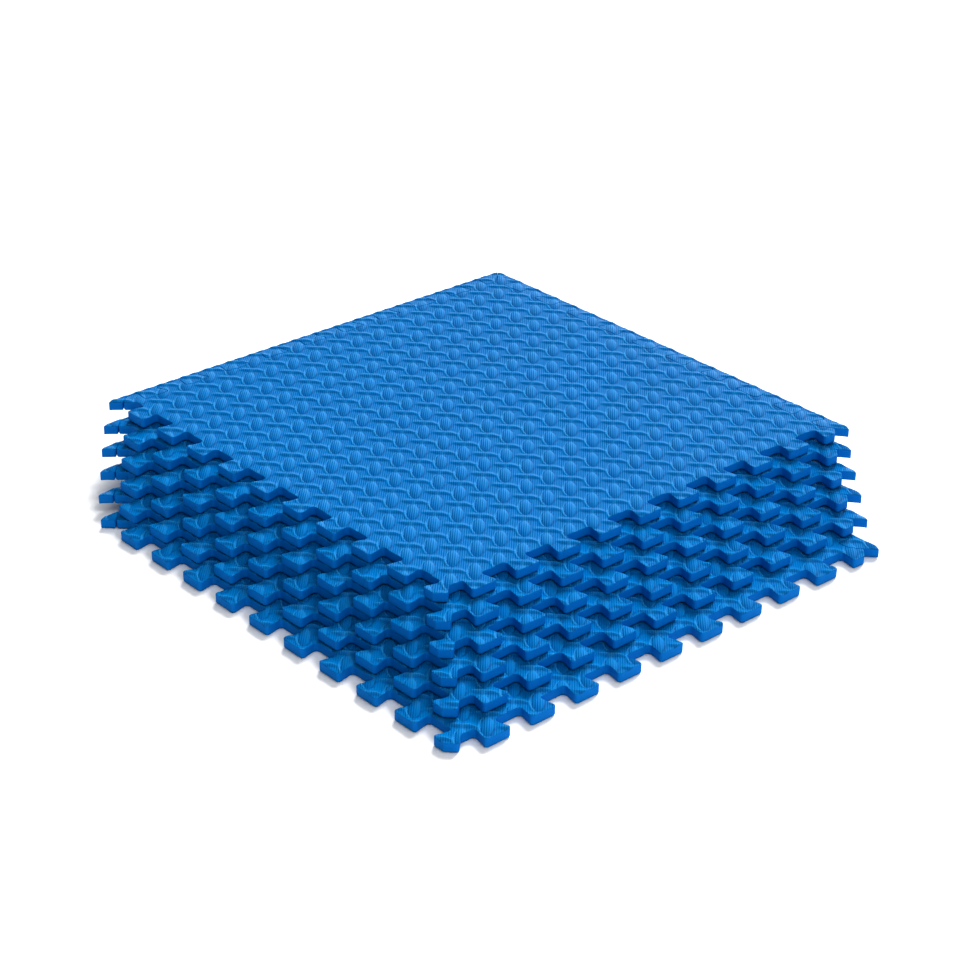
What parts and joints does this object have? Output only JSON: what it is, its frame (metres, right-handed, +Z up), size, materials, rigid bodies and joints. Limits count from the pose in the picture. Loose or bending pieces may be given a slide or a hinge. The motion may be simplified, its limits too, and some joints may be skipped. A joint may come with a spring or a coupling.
{
  "type": "interlocking foam blocking mats",
  "caption": "Fanned stack of square foam mats with dovetail interlocking edges, an embossed leaf pattern on top and press-in border strips along the back edges.",
  "frame": {"origin": "centre of the stack's bounding box, on the floor under the lowest mat", "axes": "+Z up out of the mats' top faces; +X and -Y towards the two sides the lower mats are fanned out to, so the front corner points between +X and -Y"},
  "size_m": [0.789, 0.753, 0.0735],
  "materials": {
    "foam": "soft satin closed-cell foam, embossed on top",
    "border_foam": "soft satin closed-cell foam, embossed on top"
  },
  "bodies": {
    "top_mat": {"mat_1": "foam"},
    "top_left_border": {"left_border_1": "border_foam"},
    "top_back_border": {"back_border_1": "border_foam"},
    "bordered_mat_2": {"mat_2": "foam", "left_border_2": "border_foam", "back_border_2": "border_foam"},
    "bordered_mat_3": {"mat_3": "foam", "left_border_3": "border_foam", "back_border_3": "border_foam"},
    "bordered_mat_4": {"mat_4": "foam", "left_border_4": "border_foam", "back_border_4": "border_foam"},
    "bordered_mat_5": {"mat_5": "foam", "left_border_5": "border_foam", "back_border_5": "border_foam"},
    "bordered_mat_6": {"mat_6": "foam", "left_border_6": "border_foam", "back_border_6": "border_foam"}
  },
  "joints": [
    {"name": "lift_mat_5", "type": "slide", "parent": "bordered_mat_6", "child": "bordered_mat_5", "axis": [0, 0, 1], "range_m": [0, 0.08]},
    {"name": "lift_mat_4", "type": "slide", "parent": "bordered_mat_5", "child": "bordered_mat_4", "axis": [0, 0, 1], "range_m": [0, 0.08]},
    {"name": "lift_mat_3", "type": "slide", "parent": "bordered_mat_4", "child": "bordered_mat_3", "axis": [0, 0, 1], "range_m": [0, 0.08]},
    {"name": "lift_mat_2", "type": "slide", "parent": "bordered_mat_3", "child": "bordered_mat_2", "axis": [0, 0, 1], "range_m": [0, 0.08]},
    {"name": "lift_top_mat", "type": "slide", "parent": "bordered_mat_2", "child": "top_mat", "axis": [0, 0, 1], "range_m": [0, 0.08]},
    {"name": "lift_top_left_border", "type": "slide", "parent": "top_mat", "child": "top_left_border", "axis": [0, 0, 1], "range_m": [0, 0.03]},
    {"name": "lift_top_back_border", "type": "slide", "parent": "top_mat", "child": "top_back_border", "axis": [0, 0, 1], "range_m": [0, 0.03]}
  ]
}
